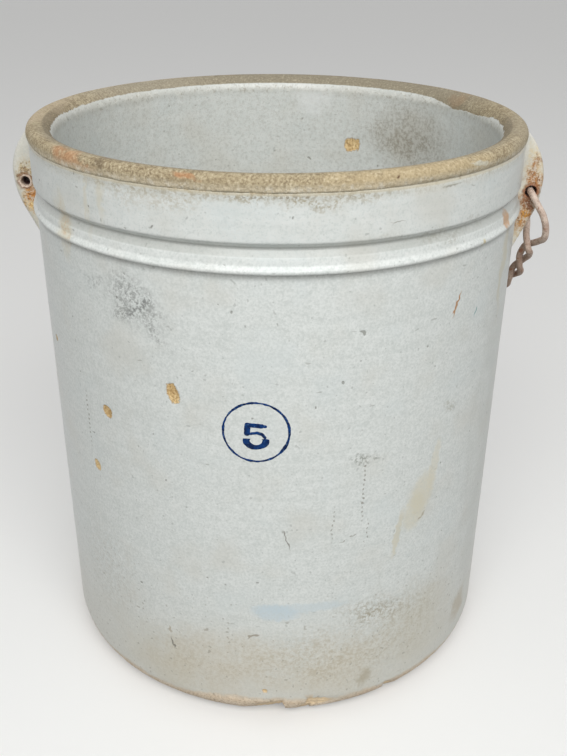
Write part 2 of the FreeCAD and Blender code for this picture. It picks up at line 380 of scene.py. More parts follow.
def wall_radius(height):
    """The wall's outside radius at a height, with its groove and bead half filled by slip."""
    table = [
        (0.0, FOOT_RADIUS),
        (BEAD_BOTTOM - 3.0, SHOULDER_RADIUS),
        (BEAD_BOTTOM + 3.0, BEAD_RADIUS - 0.6),
        (BEAD_TOP - 4.7, SHOULDER_RADIUS + 0.3),
        (BEAD_TOP, GROOVE_RADIUS + 1.8),
        (COLLAR_BOTTOM - 2.0, GROOVE_RADIUS + 0.9),
        (COLLAR_BOTTOM + 2.0, COLLAR_RADIUS),
        (HEIGHT, COLLAR_RADIUS)]
    for (z0, r0), (z1, r1) in zip(table, table[1:]):
        if height <= z1:
            return r0 + (r1 - r0) * (height - z0) / (z1 - z0)
    return COLLAR_RADIUS


def spline_through(points, count):
    """Places along a Catmull-Rom spline through the points, count even steps of its parameter."""
    ends = [points[0]] + points + [points[-1]]
    out = []
    for i in range(count + 1):
        place = i * (len(points) - 1) / count
        k = min(int(place), len(points) - 2)
        t = place - k
        p = [Vector(q) for q in ends[k:k + 4]]
        linear = p[2] - p[0]
        square = 2.0 * p[0] - 5.0 * p[1] + 4.0 * p[2] - p[3]
        cube = 3.0 * p[1] - p[0] - 3.0 * p[2] + p[3]
        out.append(p[1] + 0.5 * (linear * t + square * t ** 2 + cube * t ** 3))
    return out


def ear_plan(reach, height):
    """Half of the ear's plan as points: how far from the wall, and how far from the ear's middle."""
    wall = wall_radius(height) - EAR_SINK
    room = max(reach - wall, 0.3)
    share = min(1.0, room / FULL_REACH)
    flare = EAR_FLARE * share
    edge = EAR_EDGE * share
    half = EAR_THICKNESS / 2.0
    plan = [(-EAR_ROOT_DEPTH, half + flare + 0.4), (-0.4, half + flare + 0.4)]
    plan += [polar((flare, half + flare), flare, angle) for angle in range(180, 271, 15)]
    plan.append((flare + (room - edge - flare) / 2.0, half))
    plan += [polar((room - edge, half - edge), edge, angle) for angle in range(90, -1, -15)]
    plan.append((room, (half - edge) / 2.0))
    return [(wall + away, across) for away, across in plan]


def ear_block(outline):
    """The ear on the +X side before its hole, as a loft of plans."""
    bm = bmesh.new()
    rings = []
    for point in spline_through(outline, EAR_STEPS):
        half_plan = ear_plan(point.x, point.y)
        loop = [(r, -y) for r, y in half_plan] + [(r, y) for r, y in reversed(half_plan)]
        rings.append([bm.verts.new((sqrt(r * r - y * y), y, point.y)) for r, y in loop])
    bridge(bm, rings)
    bm.faces.new(rings[0])
    bm.faces.new(rings[-1])
    bmesh.ops.recalc_face_normals(bm, faces=bm.faces)
    return bm


def hole_cutter(centre, radius, bevel):
    """A rod along Y with trumpet ends that roll over onto the ear's two faces."""
    half = EAR_THICKNESS / 2.0
    mouth = [polar((radius + bevel, half - bevel), bevel, angle) for angle in range(180, 89, -15)]
    profile = [(radius, 0.0)] + mouth + [(radius + bevel, half + 4.0)]
    profile = [(r, -y) for r, y in reversed(profile[1:])] + profile
    bm = bmesh.new()
    rings = [[bm.verts.new((centre[0] + r * cos(a), y, centre[1] + r * sin(a))) for a in turns(HOLE_SIDES)]
             for r, y in profile]
    bridge(bm, rings)
    bm.faces.new(rings[0])
    bm.faces.new(rings[-1])
    bmesh.ops.recalc_face_normals(bm, faces=bm.faces)
    return bm


def baked(piece):
    """Applies a piece's modifiers."""
    graph = bpy.context.evaluated_depsgraph_get()
    mesh = bpy.data.meshes.new_from_object(piece.evaluated_get(graph))
    piece.modifiers.clear()
    piece.data = mesh


def make_ear(name):
    """One ear, moulded by hand: its hole is cut, then everything is softened and made uneven."""
    hole = HOLE_CENTRE[name]
    piece = link(name + "_glazed", ear_block(EAR_OUTLINE[name]))
    cutter = link("cutter", hole_cutter(hole, HOLE_RADIUS[name], HOLE_MOUTH[name]))
    cut = piece.modifiers.new("hole", "BOOLEAN")
    cut.object = cutter
    cut.solver = "EXACT"
    skin = piece.modifiers.new("skin", "REMESH")
    skin.mode = "VOXEL"
    skin.voxel_size = EAR_VOXEL * MM
    soft = piece.modifiers.new("soft", "SMOOTH")
    soft.iterations = EAR_SOFTENING
    baked(piece)
    bpy.data.objects.remove(cutter)
    side = SIDE[name]
    bm = bmesh.new()
    bm.from_mesh(piece.data)
    bm.normal_update()
    # Moved this far, the noise is another one for each ear
    offset = Vector((0.0, 90.0 * side, 0.0))
    for v in bm.verts:
        place = v.co / MM + offset
        from_hole = hypot(v.co.x / MM - hole[0], v.co.z / MM - hole[1])
        rough = smooth_step(8.0, 5.0, from_hole)
        uneven = 0.22 * ripple(place, 11.0) + (0.07 + 0.1 * rough) * ripple(place, 2.2)
        v.co -= v.normal * (EAR_DRAWN_IN + uneven) * MM
        v.co.x *= side
    if side < 0.0:
        bmesh.ops.reverse_faces(bm, faces=bm.faces)
    bm.to_mesh(piece.data)
    bm.free()
    piece.data.shade_smooth()
    return piece


# Shape of the capacity mark: a plain ring and a plain numeral 5, stamped in blue ink

MARK_AZIMUTH = -89.97
MARK_HEIGHT = 213.0
MARK_RADIUS = 18.2
MARK_LINE = 0.62
MARK_CELL = 0.3
NUMERAL_DROP = 2.6
INK_LIFT = 0.07
INK_ROOT = 0.4
# Strokes of the numeral: half width, then points across and up from the numeral's middle
NUMERAL_STROKES = [
    (1.7, [(-4.6, 6.9), (-4.9, 2.0)]),
    (1.3, [(-5.0, 7.2), (3.2, 6.6)]),
    (0.9, [(-5.2, 1.2), (-2.4, 1.9), (0.6, 2.4), (3.2, 1.6), (4.9, -0.4)]),
    (0.9, [(4.6, 6.5), (5.2, 6.4)])]
BOWL_CENTRE = (0.0, -2.6)
BOWL_SIZE = (5.4, 4.0)
BOWL_WIDTH = 1.45


def segment_gap(point, a, b):
    """How far a point is from the line between two others."""
    along = b - a
    t = min(1.0, max(0.0, (point - a).dot(along) / along.dot(along)))
    return (point - a - along * t).length


def ink(u, v):
    """Positive where there is ink, and about as large as the way to the ink's edge."""
    place = Vector((u, v, 0.0))
    spot = Vector((u, v + NUMERAL_DROP))
    uneven = 0.16 * ripple(place, 1.5) + 0.2 * ripple(place, 5.0)
    angle = Vector((u, v)).angle_signed(Vector((0.0, -1.0))) if (u or v) else 0.0
    worn = ripple(Vector((3.0 * cos(angle), 3.0 * sin(angle), 7.0)), 1.0)
    line = MARK_LINE * (1.0 + 0.9 * worn) + 0.12 * ripple(place, 2.0)
    best = line - abs(hypot(u, v) - MARK_RADIUS)
    for half, points in NUMERAL_STROKES:
        for a, b in zip(points, points[1:]):
            best = max(best, half - segment_gap(spot, Vector(a), Vector(b)))
    x = (spot.x - BOWL_CENTRE[0]) / BOWL_SIZE[0]
    y = (spot.y - BOWL_CENTRE[1]) / BOWL_SIZE[1]
    if y < 0.35:
        best = max(best, BOWL_WIDTH - abs(hypot(x, y) - 1.0) * BOWL_SIZE[1])
    return best + uneven


def clipped(corners):
    """The part of a triangle, given as (u, v, ink) corners, where the ink is positive."""
    out = []
    for (u0, v0, f0), (u1, v1, f1) in zip(corners, corners[1:] + corners[:1]):
        if f0 > 0.0:
            out.append((u0, v0))
        if (f0 > 0.0) != (f1 > 0.0):
            t = f0 / (f0 - f1)
            out.append((u0 + (u1 - u0) * t, v0 + (v1 - v0) * t))
    return out


def wall_at(height):
    """The outside radius of the plain wall below the bead."""
    share = (height - FOOT_CORNER) / (BEAD_BOTTOM - FOOT_CORNER)
    return FOOT_RADIUS + (SHOULDER_RADIUS - FOOT_RADIUS) * share


def make_mark():
    """The mark as a thin film of ink that follows the wall."""
    bm = bmesh.new()
    count = ceil(2.0 * (MARK_RADIUS + 2.0) / MARK_CELL)
    low = -count * MARK_CELL / 2.0
    steps = [low + i * MARK_CELL for i in range(count + 1)]
    grid = [[(u, v) for v in steps] for u in steps]
    strength = [[ink(u, v) for u, v in column] for column in grid]
    for i in range(count):
        for j in range(count):
            square = [(i, j), (i + 1, j), (i + 1, j + 1), (i, j + 1)]
            for triangle in (square[:3], [square[0]] + square[2:]):
                corners = [grid[a][b] + (strength[a][b],) for a, b in triangle]
                shape = clipped(corners)
                if len(shape) > 2:
                    bm.faces.new([bm.verts.new((u, v, 0.0)) for u, v in shape])
    bmesh.ops.remove_doubles(bm, verts=bm.verts, dist=MARK_CELL / 50.0)
    bmesh.ops.dissolve_degenerate(bm, edges=bm.edges, dist=MARK_CELL / 100.0)
    top = list(bm.faces)
    grown = bmesh.ops.extrude_face_region(bm, geom=top, use_keep_orig=True)
    risen = {v for v in grown["geom"] if isinstance(v, bmesh.types.BMVert)}
    for v in bm.verts:
        height = MARK_HEIGHT + v.co.y
        azimuth = MARK_AZIMUTH + degrees(v.co.x / wall_at(height))
        flat = on_pot(azimuth, wall_at(height), height)
        lift = (INK_LIFT if v in risen else -INK_ROOT) - hand_made(flat)
        v.co = on_pot(azimuth, wall_at(height) + lift, height)
    bmesh.ops.recalc_face_normals(bm, faces=bm.faces)
    return link("capacity_mark", bm)


# Materials

def paint(red, green, blue):
    """A colour as a picture shows it, each part from 0 to 255, for a shader."""
    parts = [level / 255.0 for level in (red, green, blue)]
    return tuple(p / 12.92 if p <= 0.04045 else ((p + 0.055) / 1.055) ** 2.4 for p in parts) + (1.0,)


class Field:
    """A number that varies over a surface. Arithmetic on it adds nodes to its graph."""

    def __init__(self, graph, socket):
        self.graph = graph
        self.socket = socket

    def __add__(self, other):
        return self.graph.math("ADD", self, other)

    def __sub__(self, other):
        return self.graph.math("SUBTRACT", self, other)

    def __mul__(self, other):
        return self.graph.math("MULTIPLY", self, other)

    def __abs__(self):
        return self.graph.math("ABSOLUTE", self, 0.0)

    __radd__ = __add__
    __rmul__ = __mul__


class Graph:
    """A node material in the making. Lengths and places in it are in millimetres."""

    def __init__(self, name):
        self.material = bpy.data.materials.new(name)
        self.material.use_nodes = True
        self.tree = self.material.node_tree
        self.tree.nodes.clear()
        self.known = {}
        coordinates = self.node("ShaderNodeTexCoord")
        self.here = self.vector("SCALE", coordinates.outputs["Object"], Scale=1.0 / MM)
        self.x, self.y, self.z = self.parts(self.here)
        self.r = self.length(self.node("ShaderNodeCombineXYZ", {0: self.x, 1: self.y}))
        self.loose = self.warped(self.warped(self.here, 14.0, 7.0), 3.0, 2.4)
        self.crisp = self.warped(self.here, 2.6, 1.6)

    def node(self, kind, inputs=None, **settings):
        node = self.tree.nodes.new(kind)
        for name, value in settings.items():
            setattr(node, name, value)
        for key, value in (inputs or {}).items():
            self.plug(value, node.inputs[key])
        return node

    def plug(self, value, socket):
        if isinstance(value, Field):
            value = value.socket
        if isinstance(value, bpy.types.NodeSocket):
            self.tree.links.new(value, socket)
        else:
            socket.default_value = value

    def math(self, operation, a, b):
        return Field(self, self.node("ShaderNodeMath", {0: a, 1: b}, operation=operation).outputs[0])

    def vector(self, operation, a, b=None, output="Vector", **others):
        inputs = {0: a, **others}
        if b is not None:
            inputs[1] = b
        return self.node("ShaderNodeVectorMath", inputs, operation=operation).outputs[output]

    def length(self, place_node):
        return Field(self, self.vector("LENGTH", place_node.outputs[0], output="Value"))

    def within(self, place_node, soft):
        """1 where a place is less than 1 from the origin and 0 beyond it, with a soft edge."""
        return self.band(self.length(place_node), 1.0 + soft, 1.0 - soft)

    def parts(self, place):
        split = self.node("ShaderNodeSeparateXYZ", {0: place})
        return [Field(self, split.outputs[i]) for i in range(3)]

    def warped(self, place, size, reach):
        """The place moved about, mostly by less than half of reach, in swirls about as large as size."""
        swirl = self.node("ShaderNodeTexNoise", {"Vector": place, "Scale": 1.0 / size, "Detail": 0.0})
        centred = self.vector("SUBTRACT", swirl.outputs["Color"], (0.5, 0.5, 0.5))
        return self.vector("ADD", place, self.vector("SCALE", centred, Scale=2.0 * reach))

    def noise(self, size, detail=2.0, gain=0.5, stretch=None):
        """Smooth noise about 0.5. Asking for the same noise again gives the same nodes."""
        wanted = (size, detail, gain, stretch)
        if wanted not in self.known:
            place = self.vector("MULTIPLY", self.here, stretch) if stretch else self.here
            inputs = {"Vector": place, "Scale": 1.0 / size, "Detail": detail, "Roughness": gain}
            self.known[wanted] = Field(self, self.node("ShaderNodeTexNoise", inputs).outputs["Fac"])
        return self.known[wanted]

    def band(self, value, start, stop):
        """0 on start's side and 1 on stop's side, with an even change between."""
        inputs = {"Value": value, "From Min": start, "From Max": stop}
        ramp = self.node("ShaderNodeMapRange", inputs, interpolation_type="SMOOTHSTEP")
        return Field(self, ramp.outputs[0])

    def flecks(self, size, level, stretch=None):
        """Flecks about a third of size wide, the further apart the higher the level."""
        return self.band(self.noise(size, 0.0, 0.5, stretch), level, level + 0.07)

    def spot(self, azimuth, height, across, high, tilt=0.0, soft=0.5, radius=None, depth=9.0, at=None):
        """1 inside an oval on the pot and 0 outside it, with a soft edge."""
        centre = on_pot(azimuth, radius or SHOULDER_RADIUS, height)
        inputs = {"Vector": at or self.loose, "Location": centre,
                  "Rotation": (0.0, radians(tilt), radians(azimuth + 90.0)),
                  "Scale": (across / 2.0, depth, high / 2.0)}
        turned = self.node("ShaderNodeMapping", inputs, vector_type="TEXTURE")
        return self.within(turned, soft)

    def oval(self, across, up, width, height, soft):
        """1 inside an oval round the origin of two fields and 0 outside it."""
        flat = self.node("ShaderNodeCombineXYZ", {0: across * (2.0 / width), 1: up * (2.0 / height)})
        return self.within(flat, soft)

    def blend(self, share, under, over):
        mix = self.node("ShaderNodeMix", {0: share, 6: under, 7: over}, data_type="RGBA")
        return mix.outputs[2]


class Look:
    """What a surface has so far: its colour, its roughness and its relief in millimetres."""

    def __init__(self, graph, colour, roughness, relief):
        self.graph = graph
        self.colour = colour
        self.roughness = roughness
        self.relief = relief

    def stain(self, share, colour):
        """Lays a colour, as red, green and blue from 0 to 255, over this look."""
        self.colour = self.graph.blend(share, self.colour, paint(*colour))

    def cover(self, share, other):
        """Lays another look over this one."""
        self.colour = self.graph.blend(share, self.colour, other.colour)
        self.roughness += (other.roughness - self.roughness) * share
        self.relief += (other.relief - self.relief) * share

    def finish(self, specular=0.5):
        g = self.graph
        bump = g.node("ShaderNodeBump", {"Height": self.relief, "Distance": MM, "Strength": 1.0})
        inputs = {"Base Color": self.colour, "Roughness": self.roughness, "Normal": bump.outputs[0]}
        shader = g.node("ShaderNodeBsdfPrincipled", inputs)
        shader.inputs["Specular IOR Level"].default_value = specular
        g.node("ShaderNodeOutputMaterial", {0: shader.outputs[0]})
        return g.material


# Noise that several looks share: its size, its detail and, where it isn't plain, its gain
WIDE = (34, 2)
LOOSE_EDGE = (7, 2)
PATCHES = (6, 3, 0.7)
BLOTCHES = (4, 3, 0.75)
GRIME = (2.4, 3, 0.85)
GRAIN = (1.5, 2, 0.75)
GRIT = (1.4, 3, 0.7)


def glaze(g):
    """Off-white glaze, clouded and mottled at every scale, with iron specks, pits and throwing lines."""
    fine = g.noise(*GRAIN)
    middle = g.noise(*PATCHES)
    wide = g.noise(*WIDE)
    lines = g.noise(1, 1, 0.5, (0.02, 0.02, 0.3))
    pits = g.flecks(3.4, 0.83)
    tone = 0.6 * fine + 0.25 * middle + 0.15 * lines
    colour = g.blend(g.band(tone, 0.3, 0.7), paint(201, 206, 202), paint(230, 233, 230))
    relief = 0.1 * g.noise(4.5, 1) + 0.05 * fine + 0.05 * lines - 0.2 * pits
    look = Look(g, colour, 0.3 + 0.2 * (middle - 0.4), relief)
    look.stain(g.band(wide, 0.5, 0.74) * 0.4, (208, 205, 194))
    look.stain(g.band(wide, 0.46, 0.28) * 0.3, (209, 218, 218))
    look.stain(g.flecks(2.3, 0.78) * 0.45, (150, 153, 148))
    look.stain(pits * 0.75, (112, 112, 102))
    look.stain(g.flecks(2.8, 0.83, (0.45, 0.45, 1.4)) * 0.5, (138, 138, 130))
    return look


# Bare clay: its pale grains, its lighter and its darker patches, and its dark grains
RIM_CLAY = [(214, 201, 170), (181, 167, 137), (158, 143, 114), (106, 90, 66)]
FOOT_CLAY = [(250, 238, 218), (242, 226, 204), (232, 213, 188), (172, 150, 122)]
CHIP_CLAY = [(250, 232, 188), (228, 200, 148), (204, 172, 120), (140, 102, 58)]


def bare_clay(g, colours):
    """Unglazed clay: gritty, with grains paler and darker than the rest."""
    pale, light, middle, dark = colours
    patches = g.noise(11, 3, 0.65)
    grit = g.noise(*GRIT)
    colour = g.blend(g.band(patches, 0.36, 0.64), paint(*middle), paint(*light))
    look = Look(g, colour, 0.78 + 0.2 * (grit - 0.5), 0.45 * grit)
    look.stain(g.band(grit, 0.53, 0.36) * 0.65, dark)
    look.stain(g.band(grit, 0.54, 0.68) * 0.5, pale)
    look.stain(g.flecks(2.3, 0.77) * 0.6, (96, 78, 56))
    return look


# How far in the rim is bare, how high the foot is bare at its sides and how much more at the front
BARE_INSIDE = 348.6
BARE_FOOT = 12.5
FRONT_FOOT = 4.5

# Stains on the glaze, and painted shade along the right side: azimuth and height of the middle, how wide and
# how high each is, its tilt, colour and strength, and how soft its edge is
SOFT_STAINS_AND_SHADE = [
    # drip below the bead on the right
    (-23.4, 280, 8, 50, 0, (204, 196, 166), 0.7, 0.6),
    # painted shade along the right side, and a worn patch low on it
    (-12, 150, 110, 280, 0, (174, 178, 170), 0.55, 0.95),
    (-27, 37, 20, 28, 20, (172, 160, 134), 0.7, 0.5),
    # yellowish runs under the rim on the left
    (-122.4, 336, 4, 24, 0, (214, 206, 180), 0.5, 0.9),
    (-127.5, 333, 3, 28, 0, (214, 206, 182), 0.5, 0.9),
    (-137, 312, 12, 26, 0, (212, 200, 166), 0.6, 0.8),
    # beige haze low on the front
    (-99, 44, 84, 44, 0, (206, 199, 183), 0.6, 0.9),
    (-72, 36, 70, 40, 0, (204, 196, 177), 0.45, 0.9),
    (-114, 30, 60, 40, 0, (198, 188, 164), 0.4, 0.9),
    (-46, 52, 60, 50, 12, (200, 194, 176), 0.5, 0.9),
    # brown dab above the foot
    (-63, 25, 8, 13, 12, (166, 156, 132), 0.6, 0.6)]

GRITTY_STAINS = [
    # brown grime low on the front
    (-61, 79, 46, 17, 14, (150, 140, 116), 0.75, 0.9),
    (-84, 50, 90, 34, 0, (172, 158, 128), 0.4, 0.9),
    (-107, 40, 70, 40, 0, (176, 165, 140), 0.4, 0.9),
    (-66, 44, 70, 44, 0, (168, 154, 124), 0.4, 0.9),
    (-48, 60, 60, 44, 14, (168, 158, 132), 0.4, 0.9),
    (-132, 84, 50, 60, 0, (176, 170, 156), 0.35, 0.9),
    # grey scuffs on the upper left of the front
    (-117.5, 281.5, 28, 20, 35, (138, 140, 137), 0.85, 0.8),
    (-114.6, 280.5, 6, 15, 50, (120, 122, 120), 0.8, 0.6),
    (-118.3, 275.5, 22, 6, -20, (134, 136, 133), 0.7, 0.7),
    (-111.3, 272, 12, 28, -25, (146, 148, 145), 0.75, 0.8),
    (-127.5, 287, 18, 5, -20, (146, 148, 145), 0.7, 0.7),
    # dirt on the groove and the collar
    (-50, 316.5, 90, 5, 0, (140, 134, 114), 0.4, 0.8),
    (-84, 342, 120, 8, 0, (148, 134, 102), 0.75, 0.8),
    (-112, 341, 60, 12, 0, (176, 166, 142), 0.5, 0.9),
    # specks at the top of the dotted line, and faint rubs elsewhere
    (-66.6, 190.5, 11, 8, 0, (118, 122, 112), 0.85, 0.7),
    (-43.8, 210, 10, 10, 0, (174, 174, 162), 0.6, 0.3),
    (60, 210, 60, 30, 15, (160, 160, 152), 0.6, 0.9),
    (170, 240, 30, 40, 0, (162, 162, 154), 0.6, 0.9)]

# Marks with crisp edges: azimuth, height, width, length, tilt, colour, and strength
CRISP_MARKS = [
    # yellow patch that runs down to the left on the right of the front, with a brown edge below it
    (-46.6, 172, 7, 34, 9, (214, 208, 186), 0.45),
    (-49.6, 156, 17, 30, 14, (211, 205, 182), 0.5),
    (-51.8, 145, 16, 26, 14, (208, 202, 178), 0.5),
    (-56.3, 133, 4.5, 34, 8, (204, 197, 172), 0.55),
    (-49.4, 139.5, 1.6, 9, 45, (162, 150, 124), 0.6),
    # blue smear from the marking ink
    (-85.8, 88, 28, 12, 6, (188, 206, 216), 0.5),
    (-79.5, 91, 58, 7.5, 0, (194, 209, 216), 0.4),
    # rust and a drip on the bead
    (-25.5, 310.5, 10, 10, 0, (190, 134, 64), 0.75),
    (-37.1, 304, 3, 4, 0, (196, 176, 116), 0.7),
    # scratches
    (-83.3, 141, 0.9, 15, -16, (120, 116, 108), 0.75),
    (-44.3, 273, 1.5, 15, 20, (170, 120, 66), 0.9),
    (-36.6, 263.6, 1.2, 5, 30, (70, 140, 140), 0.8),
    (-111.8, 51, 1.3, 9, -14, (96, 92, 84), 0.7),
    (-112.4, 62, 2, 5, 0, (170, 160, 140), 0.7),
    (-62, 328, 0.8, 7, 84, (120, 114, 100), 0.6),
    (-91.1, 69, 1.8, 9, 70, (142, 132, 114), 0.7),
    (-102.6, 69.3, 2.2, 4, 60, (150, 142, 128), 0.6)]
# Rows of small dots that something left when it was dragged down the wall: azimuth, height, width,
# length and tilt
DOT_ROWS = [
    (-66, 172, 1.3, 44, 1),
    (-64.8, 140, 0.8, 20, 3),
    (-73, 150, 0.9, 26, 2),
    (-68.8, 139.5, 0.9, 14, 64),
    (-134.8, 193, 1.4, 38, 0),
    (-49, 342.3, 14, 2, 0)]
DOT_PITCH = 3.1
# Painted shade, with some dirt, under the bead and in the groove: heights where each starts and stops, and
# strength
CREASE_SHADE_AND_DIRT = [(301.6, 302.8, 0.15), (312.6, 317.8, 0.38)]


def marked_glaze(g):
    """The glaze of the pot with the stains and scratches of its long use, and painted shade along its right
    side.
    """
    look = glaze(g)
    low = g.band(g.z + 34 * (g.noise(*WIDE) - 0.5), 104, 10)
    look.stain(low * 0.5, (203, 196, 179))
    body = g.band(g.z, BEAD_BOTTOM + 0.3, BEAD_BOTTOM - 1.7) * g.band(g.r, 138, 144)
    look.stain(body * 0.2, (196, 201, 198))
    # soft stains, one of them painted shade along the right side
    for azimuth, height, across, high, tilt, colour, strength, soft in SOFT_STAINS_AND_SHADE:
        look.stain(g.spot(azimuth, height, across, high, tilt, soft) * strength, colour)
    broken = g.band(g.noise(*GRIME), 0.42, 0.62)
    for azimuth, height, across, high, tilt, colour, strength, soft in GRITTY_STAINS:
        look.stain(g.spot(azimuth, height, across, high, tilt, soft) * broken * strength, colour)
    gritty = g.band(g.z, 150, 50) * g.flecks(2.1, 0.75)
    look.stain(gritty * 0.5, (138, 132, 116))
    for azimuth, height, across, high, tilt, colour, strength in CRISP_MARKS:
        mark = g.spot(azimuth, height, across, high, tilt, 0.3, at=g.crisp)
        look.stain(mark * (0.3 + 1.4 * g.noise(*GRAIN)) * strength, colour)
    beat = g.math("SINE", g.z * (2 * pi / DOT_PITCH), 0)
    dots = g.band(beat, -0.1, 0.5)
    for azimuth, height, across, high, tilt in DOT_ROWS:
        row = g.spot(azimuth, height, across, high, tilt, 0.3, at=g.crisp)
        look.stain(row * dots * 0.7, (128, 124, 112))
    return look


def rim_share(g):
    """Where the rim is bare: up from the crease outside, and past the top inside."""
    ragged = 2.4 * (g.noise(*LOOSE_EDGE) - 0.5) + 1.6 * (g.noise(1.6, 2, 0.75) - 0.5)
    inside = g.band(g.r, MOUTH_RADIUS + MOUTH_ROUND + 1, MOUTH_RADIUS + MOUTH_ROUND - 1)
    # at the back on the right it reaches further down inside, and at the front its edge is rougher
    wash = 4.5 * g.spot(27, HEIGHT, 66, 30, soft=0.6, radius=MOUTH_RADIUS)
    rough = g.spot(-98, COLLAR_TOP, 150, 40, soft=0.6)
    ragged *= g.band(g.y, 210, -60)
    edge = inside * (BARE_INSIDE - COLLAR_TOP + ragged - wash) + (0.45 + 1.2 * rough) * ragged
    return g.band(g.z - edge, COLLAR_TOP - 0.1, COLLAR_TOP + 0.6)


def foot_share(g):
    """Where the foot is bare: all of the underside, and a ragged line above it."""
    ragged = 6 * (g.noise(*WIDE) - 0.5) + 5 * (g.noise(*PATCHES) - 0.5)
    front = FRONT_FOOT * g.spot(-91, 0, 70, 80, soft=0.5, radius=FOOT_RADIUS, depth=30)
    return g.band(g.z - ragged - front, BARE_FOOT + 3.5, BARE_FOOT - 2.5)


# Places on the rim whose clay differs: azimuth, radius and height of the middle, how wide and how high
# each is, its colour and strength
RIM_STAINS = [
    (-58, 149, 352, 150, 30, (194, 175, 138), 0.6),
    (-8, 147, 352, 110, 30, (160, 149, 127), 0.6),
    (180, 146, 352, 150, 30, (190, 173, 146), 0.6),
    (-97, 150, 349, 64, 14, (148, 132, 102), 0.4),
    (-133, 149, 350, 26, 9, (192, 140, 98), 0.6),
    (-126, 150.5, 347, 14, 5, (180, 120, 76), 0.5),
    (-103.5, 149, 353, 12, 5, (184, 128, 84), 0.6),
    (33, 138, 352, 18, 9, (180, 136, 92), 0.6),
    (-122, 148, 353, 8, 6, (104, 90, 70), 0.6),
    (-61.8, 150.4, 350.9, 2.6, 2.6, (90, 62, 44), 0.9),
    (-41.5, 150.5, 350.2, 10, 3.4, (204, 207, 196), 0.6)]


def rim_clay(g):
    look = bare_clay(g, RIM_CLAY)
    for azimuth, radius, height, across, high, colour, strength in RIM_STAINS:
        look.stain(g.spot(azimuth, height, across, high, radius=radius) * strength, colour)
    # the back of the rim darker except on the left: painted shade; paler on the back left
    back = g.band(g.y, 0, 120)
    look.stain(back * g.band(g.x, -110, -20) * 0.5, (130, 123, 104))
    look.stain(back * g.band(g.x, -40, -100) * 0.4, (214, 205, 186))
    # dirt worn into the top, and a darker line along its inside edge at the front
    worn = g.band(g.r, 148, 142) * g.band(abs(g.y), 30, 100)
    look.stain(worn * 0.65, (142, 135, 118))
    look.stain(g.band(g.r, 141.6, 140.6) * g.band(g.y, 40, -20) * 0.5, (98, 88, 70))
    # the lip's lower half painted paler, painted light against the shade of its curve, and blotched
    low = g.band(g.z, HEIGHT - 3.5, HEIGHT - 7.2) * g.band(g.r, 146, 148)
    look.stain(low * 0.65, (210, 199, 174))
    look.stain(low * g.band(g.noise(*BLOTCHES), 0.5, 0.62) * 0.6, (220, 215, 200))
    look.stain(low * g.band(g.noise(*GRIME), 0.46, 0.6) * 0.4, (140, 124, 96))
    grit = g.noise(*GRIT)
    look.stain(g.band(grit, 0.5, 0.36) * 0.2, (112, 96, 70))
    look.stain(g.band(grit, 0.54, 0.68) * 0.25, (222, 212, 186))
    return look


def foot_clay(g):
    look = bare_clay(g, FOOT_CLAY)
    look.stain(g.band(g.z, 2.5, 0.5) * 0.3, (186, 168, 144))
    look.stain(g.band(g.z, 10, 14) * 0.3, (204, 180, 148))
    return look


def chip_clay(g, bare):
    look = bare_clay(g, CHIP_CLAY)
    look.stain(g.band(bare, 0.95, 0.5) * 0.75, (136, 106, 68))
    look.stain(g.band(g.z, 30, 18) * 0.7, (246, 224, 192))
    return look


def soil_and_shade_inside(g, look):
    """Grey grain on the inside, painted shade that darkens it towards the bottom, dirt at the back on the
    right, and the pale lip where the glaze ends.
    """
    broken = g.noise(*GRIME)
    inner = g.band(g.r, MOUTH_RADIUS + 3, MOUTH_RADIUS) * g.band(g.z, 10, 16)
    look.stain(inner * 0.25, (197, 197, 190))
    look.stain(inner * g.band(broken, 0.46, 0.66) * 0.35, (158, 156, 146))
    grain = g.band(g.noise(*GRAIN), 0.5, 0.64) * (inner + g.band(g.z, BEAD_BOTTOM, COLLAR_BOTTOM))
    look.stain(grain * 0.22, (176, 176, 168))
    # darker towards the bottom inside: painted shade
    look.stain(inner * g.band(g.z, 340, 120) * 0.2, (186, 184, 174))
    grime = g.spot(50, 316, 58, 34, radius=MOUTH_RADIUS, soft=0.9)
    look.stain(grime * 0.5, (168, 162, 148))
    look.stain(grime * g.band(broken, 0.42, 0.6) * 0.6, (136, 128, 112))
    look.stain(g.spot(82.4, 339, 26, 16, radius=MOUTH_RADIUS, soft=0.5) * 0.5, (224, 226, 224))
    lip = inner * g.band(g.z + 6 * (g.noise(*LOOSE_EDGE) - 0.5), 340, 346)
    look.stain(lip * 0.45, (192, 190, 180))
    look.stain(lip * g.band(g.noise(*BLOTCHES), 0.5, 0.62) * 0.4, (232, 232, 224))
    look.stain(lip * g.band(broken, 0.56, 0.66) * 0.5, (140, 130, 108))
    look.relief += 0.25 * lip


def soil_and_shade_outside(g, look):
    """Dirt below the rim, painted shade with some dirt in the crease under the rim, in the groove and under
    the bead, and rust that ran from the left ear onto the bead.
    """
    broken = g.noise(*GRIME)
    outside = g.band(g.r, 144, 146)
    skirt = g.band(g.z + 5 * (g.noise(*LOOSE_EDGE) - 0.5), 338, 345) * outside
    look.stain(skirt * 0.3, (200, 194, 174))
    look.stain(skirt * g.band(broken, 0.48, 0.62) * 0.4, (158, 148, 124))
    # a darker band in the crease under the rim: painted shade, with some dirt
    look.stain(g.band(g.z, COLLAR_TOP - 2, COLLAR_TOP - 0.8) * outside * 0.6, (182, 171, 144))
    # painted shade, with some dirt, under the bead and in the groove
    for low, high, strength in CREASE_SHADE_AND_DIRT:
        middle, half = (low + high) / 2, (high - low) / 2
        crease = g.band(abs(g.z - middle), half + 0.6, half - 0.4) * outside
        look.stain(crease * strength, (116, 116, 106))
    line = g.band(g.z, 342.4, 343) * g.band(g.z, 344.4, 343.8) * g.spot(-86, 343.4, 44, 14)
    look.stain(line * g.flecks(1.5, 0.52) * 0.6, (124, 114, 94))
    rust = g.spot(-136.8, 311, 8, 18, soft=0.8)
    look.stain(rust * g.band(broken, 0.46, 0.6) * 0.5, (196, 152, 96))


